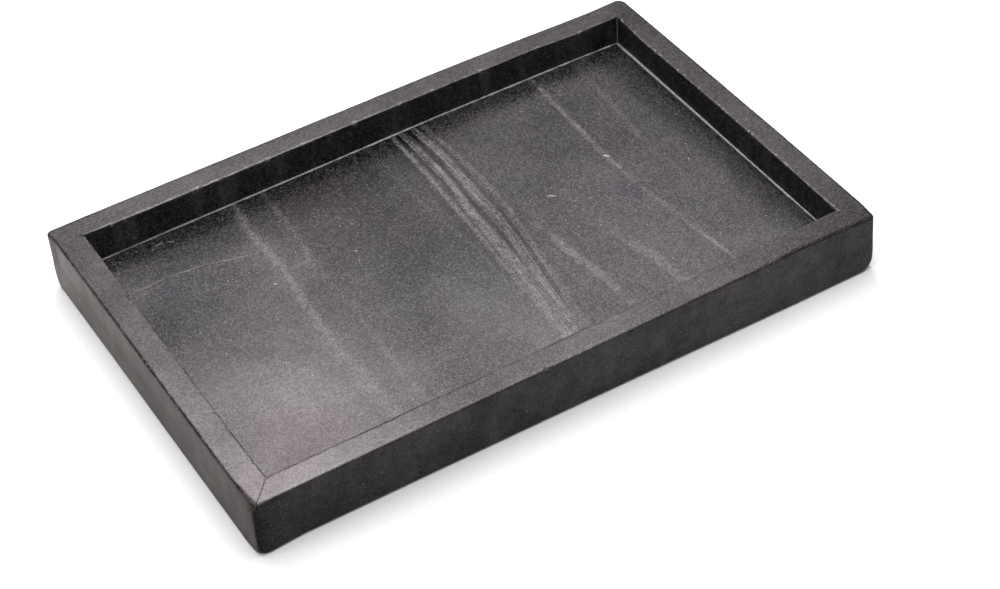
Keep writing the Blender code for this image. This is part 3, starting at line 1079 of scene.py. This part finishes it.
def grained_level(shader, tone, grain, contrast, veins=0.0):
    """How pale the stone is next to its base colour: its tone, with veins and grain added."""
    level = (2.0**tone + veins + (grain - 0.5) * contrast).at_least(0.15)
    return shader.join(level, level, level)


def honed(shader, grain, stone, shine):
    """What honed stone of this colour and shine feeds to its surface."""
    return {
        "Base Color": stone,
        "Roughness": grain.spread(0.3, 0.7, 0.32, 0.285),
        "Specular IOR Level": shine,
        "Normal": shader.bump(grain, 0.02 * MM, 0.9),
    }


def slab_marble():
    """The floor's marble: dark grey, streaked along Y, with pale veins and specks."""
    shader = Shader("slab_marble_honed")
    grain = stone_grain(shader)
    cloud = shader.noise(45 * MM, 4.0, 0.6, 0.4)
    streak = shader.noise(1.1 * MM, 4.0, 0.65, at=shader.stretched((1, 0.045, 1), 2.0))
    streak = streak.spread(0.3, 0.7, -1.0, 1.0) * shader.x.spread(0.0, 50 * MM, 0.12, 0.35)
    # Painted shade along the back and right walls darkens the floor, dulls its shine and tints it
    # blue-black
    shade = painted_wall_shade(shader)
    # Partly the stone's own clouds, partly painted: a highlight at the front left and shade along the
    # back wall
    polish_and_painted_light = cloud.spread(0.3, 0.7, -0.30, 0.30) + shader.ellipses(FLOOR_CLOUDS_AND_LIGHT) + shade * -1.2

    stone = shader.mix(0.06, FLOOR_STONE, shader.noise(30 * MM, 2.0, output="Color"), "OVERLAY")
    veins = floor_veins(shader) * VEIN_GAIN
    level = grained_level(shader, polish_and_painted_light + streak, grain, GRAIN_CONTRAST, veins)
    # Adds the stone's hazes and the painted pink sheen at the front left
    stone = add_hazes_and_sheen(shader, shader.mix(1.0, stone, level, "MULTIPLY"), 1.0)
    stone = shader.mix(shade, stone, PAINTED_SHADE_TINT, "ADD")
    dusty = cloud.spread(0.40, 0.62, 0.45, 1.0)
    stone = shader.mix(shader.dots(2.3 * MM, 0.15, 0.55) * dusty, stone, FLOOR_SPECK)
    stone = shader.mix(shader.dots(0.9 * MM, 0.25, 0.30, 0.37) * dusty * 0.8, stone, FLOOR_DUST)
    stone = shader.mix(shader.ellipses(FLECKS, 0.4), stone, FLECK)
    return shader.painted(honed(shader, grain, stone, 2.0**polish_and_painted_light * 0.475))


# Each rail's tones, above 0 pale and below 0 dark: its outer arris's, its inner and outer
# faces', and how much less its inner face shines. The front's pale outer arris is a painted
# highlight, the left's dark one painted shade, and the left's paler outer face painted light.
RAIL_TONES = {
    "front": (0.55, -1.5, -0.50, 0.0),
    "left": (-2.6, -1.5, 0.22, 0.0),
    "back": (-0.8, -1.1, -0.50, 0.0),
    "right": (-0.8, -3.0, -0.50, -2.5),
}

# How an outer arris's tone, the front's painted highlight and the left's painted shade,
# changes along a rail: the axis, from where to where, and by what it is multiplied before and after
ARRIS_CHANGES = {
    "front": (("x", -132, -118, 1.0, -0.8), ("x", 30, 80, 1.0, 2.6)),
    "left": (("y", -98, -88, 0.45, 1.0), ("y", 0, 90, 1.0, 0.6)),
}


def outer_arris_mask(shader, side, mottle):
    """The outer arris where its tone goes, broken up unevenly, with the changes along its rail."""
    mask = shader.attribute("outer_arris") * mottle.spread(0.35, 0.65, 0.4, 1.0)
    for axis, start, end, before, after in ARRIS_CHANGES.get(side, ()):
        mask = mask * getattr(shader, axis).spread(start * MM, end * MM, before, after)
    return mask


def rail_polish_and_painted_light(shader, on_top, inside, outside):
    """How well a rail is polished, with the painted highlight at the front left corner and the left
    face's painted light: above 0 pale and shiny, below 0 dark and dull.
    """
    cloud = shader.noise(32 * MM, 4.0, 0.6, 0.5)
    blotch = shader.noise(9 * MM, 3.0, 0.6, at=shader.stretched((1, 1, 0.6)))
    smear = shader.noise(10 * MM, 2.0, 0.6, at=shader.stretched((1, 1, 0.15)))
    # Partly painted: the highlight at the front left corner and the left face's light
    polish_and_painted_light = shader.ellipses(RAIL_CLOUDS_AND_LIGHT) * on_top + cloud.spread(0.3, 0.7, -0.25, 0.25)
    polish_and_painted_light = polish_and_painted_light + blotch.spread(0.3, 0.7, -0.22, 0.22) * outside
    polish_and_painted_light = polish_and_painted_light + shader.ellipses(FACE_CLOUDS_AND_LIGHT) * outside
    return polish_and_painted_light + smear.spread(0.35, 0.65, -0.8, 0.8) * inside


def rail_specks(shader, stone, grain, inside):
    """A rail's stone with its specks and dust, fewer inside, and its chips' fresh faces."""
    exposed = (1.0 - inside) * 0.35
    stone = shader.mix(shader.dots(2.6 * MM, 0.16, 0.35) * exposed, stone, RAIL_SPECK)
    stone = shader.mix(shader.dots(0.9 * MM, 0.22, 0.14, 0.53) * exposed, stone, RAIL_DUST)
    chips = shader.attribute("chipped") * grain.spread(0.4, 0.65)
    return shader.mix(chips * 0.5, stone, CHIP)


def rail_marble(side):
    """One rail's marble: the floor's stone, with painted highlights and shade along its arrises,
    painted light on the left rail's outer face, and duller upright faces.
    """
    shader = Shader(side + "_rail_marble")
    arris_tone, inside_tone, outside_tone, inside_shine = RAIL_TONES[side]
    grain = stone_grain(shader)
    mottle = shader.noise(5 * MM, 3.0, 0.6)
    inside = shader.attribute("inner_face")
    outside = shader.attribute("outer_face")
    on_top = 1.0 - (inside + outside)
    outer_arris = outer_arris_mask(shader, side, mottle)
    below_arris = abs(outer_arris) * outside
    # The outer arris's tone: a painted highlight on the front rail, painted shade on the left
    outer_arris_light_and_shade = outer_arris * arris_tone
    inner_arris = shader.attribute("inner_arris") * mottle.spread(0.38, 0.62, 0.1, 1.0)
    # Painted glints and painted shade along the inner arrises
    inner_glint_and_shade = inner_arris * shader.ellipses(ARRIS_GLINTS_AND_SHADE)
    polish_and_painted_light = rail_polish_and_painted_light(shader, on_top, inside, outside)

    tone = polish_and_painted_light + mottle.spread(0.3, 0.7, -0.15, 0.15) + outer_arris_light_and_shade + inner_glint_and_shade
    tone = tone + below_arris * -1.2 + inside * inside_tone + outside * outside_tone
    contrast = outside.spread(0.0, 1.0, 0.75 * GRAIN_CONTRAST, 0.25 * GRAIN_CONTRAST)
    # The left face is painted paler and warmer, as light from the left
    face_stone = LIT_LEFT_FACE_STONE if side == "left" else FACE_STONE
    stone = shader.mix(on_top, face_stone, RIM_STONE)
    stone = shader.mix(1.0, stone, grained_level(shader, tone, grain, contrast), "MULTIPLY")
    # Adds the stone's hazes and the painted pink sheen at the front left corner
    stone = add_hazes_and_sheen(shader, stone, (on_top - abs(outer_arris) * 2.0).at_least(0.0))
    stone = rail_specks(shader, stone, grain, inside)

    # The arrises' painted shade also lowers their shine
    dulled = inner_glint_and_shade.at_most(0.0) + outer_arris_light_and_shade.at_most(0.0) * 1.3
    dulled = dulled + inside * inside_shine + below_arris * -1.0
    shine = outside.spread(0.0, 1.0, 0.5, 0.06) * 2.0**(polish_and_painted_light + dulled)
    inputs = honed(shader, grain, stone, shine)
    inputs["Specular Tint"] = shader.mix(outside, (1, 1, 1), FACE_SHINE_TINT)
    return shader.painted(inputs)


def adhesive_material(name, colour):
    """Cured stone adhesive with dust in its surface, darker towards the tray's left."""
    shader = Shader(name)
    grain = shader.noise(0.8 * MM, 3.0, 0.7)
    tone = grain.spread(0.3, 0.7, 0.5, 1.3) * shader.x.spread(-150 * MM, 20 * MM, 0.35, 1.0)
    inputs = {
        "Base Color": shader.mix(1.0, colour, shader.join(tone, tone, tone), "MULTIPLY"),
        "Roughness": grain.spread(0.3, 0.7, 0.35, 0.6),
        "Normal": shader.bump(grain, 0.05 * MM, 0.5),
    }
    return shader.painted(inputs)


def felt_material():
    """Dense black felt: matted fibres with a little lint and sheen."""
    shader = Shader("felt_pressed")
    fibres = shader.noise(0.25 * MM, 5.0, 0.7, 2.0)
    lint = shader.dots(1.3 * MM, 0.12, 0.3) * 0.4
    colour = shader.mix(fibres.spread(0.3, 0.7), (0.012, 0.012, 0.013), (0.045, 0.045, 0.047))
    inputs = {
        "Base Color": shader.mix(lint, colour, (0.2, 0.2, 0.2)),
        "Roughness": 0.95,
        "Sheen Weight": 0.4,
        "Normal": shader.bump(fibres, 0.15 * MM, 0.8),
    }
    return shader.painted(inputs)


# The studio

STAGE_REACH = 6.0


def make_stage():
    """A wide pale floor of matt paper."""
    mesh = bpy.data.meshes.new("studio_floor")
    turns = ((-1, -1), (1, -1), (1, 1), (-1, 1))
    corners = [(x * STAGE_REACH, y * STAGE_REACH, 0) for x, y in turns]
    mesh.from_pydata(corners, [], [(0, 1, 2, 3)])
    shader = Shader("studio_paper")
    fibre = shader.noise(3 * MM, 3.0).spread(0.3, 0.7)
    paper = shader.mix(fibre, (0.690, 0.712, 0.708), (0.710, 0.732, 0.728))
    inputs = {"Base Color": paper, "Roughness": 0.9, "Specular IOR Level": 0.1}
    mesh.materials.append(shader.painted(inputs))
    floor = bpy.data.objects.new("studio_floor", mesh)
    bpy.context.scene.collection.objects.link(floor)


# Each light, aimed at the tray: its place, width and height, its power in watts and colour
ROOM_COLOUR = (1.0, 0.97, 0.975)
ROOM_STRENGTH = 0.5
LIGHTS = {
    "back_softbox": ((0.230, 0.709, 1.065), 0.7, 0.42, 6.8, (1.0, 0.945, 0.965)),
    "ceiling_panel": ((0.0, 0.0, 1.25), 1.4, 1.4, 24.0, ROOM_COLOUR),
    "left_fill": ((-1.3, -0.1, 0.75), 0.9, 0.6, 7.0, ROOM_COLOUR),
}


def make_lights():
    """A softbox behind and above, a panel overhead, a fill at the left and a pale room."""
    for name, (place, width, height, power, colour) in LIGHTS.items():
        light = bpy.data.lights.new(name, "AREA")
        light.shape = "RECTANGLE"
        light.size = width
        light.size_y = height
        light.energy = power
        light.color = colour
        lamp = bpy.data.objects.new(name, light)
        lamp.location = place
        lamp.rotation_euler = (-Vector(place)).to_track_quat("-Z", "Y").to_euler()
        bpy.context.scene.collection.objects.link(lamp)
    world = bpy.data.worlds.new("studio_room")
    world.use_nodes = True
    background = world.node_tree.nodes["Background"].inputs
    background["Color"].default_value = (*ROOM_COLOUR, 1)
    background["Strength"].default_value = ROOM_STRENGTH
    bpy.context.scene.world = world
    bpy.context.scene.view_settings.view_transform = "Standard"
    bpy.context.scene.view_settings.look = "None"


# The camera, solved from the tray's corners and edges in the photograph
CAMERA_PLACE = (-0.375861, -0.756748, 0.739577)
CAMERA_AIM = (0.020318, -0.028132, 0.016)
CAMERA_ROLL_DEGREES = -4.50
CAMERA_LENS = 92.05
CAMERA_SENSOR = 36.0
CAMERA_SHIFT = (-0.03168, -0.02910)


def make_camera():
    """The camera where the photograph was taken from."""
    camera = bpy.data.cameras.new("photo_camera")
    camera.lens = CAMERA_LENS
    camera.sensor_width = CAMERA_SENSOR
    camera.shift_x, camera.shift_y = CAMERA_SHIFT
    camera.clip_start, camera.clip_end = 0.05, 20.0
    holder = bpy.data.objects.new("photo_camera", camera)
    aim = (Vector(CAMERA_AIM) - Vector(CAMERA_PLACE)).to_track_quat("-Z", "Y")
    roll = Quaternion((0, 0, 1), math.radians(CAMERA_ROLL_DEGREES))
    holder.rotation_mode = "QUATERNION"
    holder.rotation_quaternion = aim @ roll
    holder.location = CAMERA_PLACE
    bpy.context.scene.collection.objects.link(holder)
    bpy.context.scene.camera = holder


def main():
    """Builds every piece of the tray, then the studio, its lights and the camera."""
    slab = slab_marble()
    bead = adhesive_material("adhesive_bead", BEAD)
    corner_bead = adhesive_material("adhesive_corner_bead", CORNER_BEAD)
    film = adhesive_material("adhesive_film", FILM)
    felt = felt_material()
    make_slab(slab)
    for side in SIDES:
        make_rail(side, rail_marble(side))
        make_floor_bead(side, bead)
    for corner in CORNERS:
        make_corner_bead(corner, corner_bead)
        make_mitre_film(corner, film)
        make_pad(corner, felt)
    make_stage()
    make_lights()
    make_camera()


main()
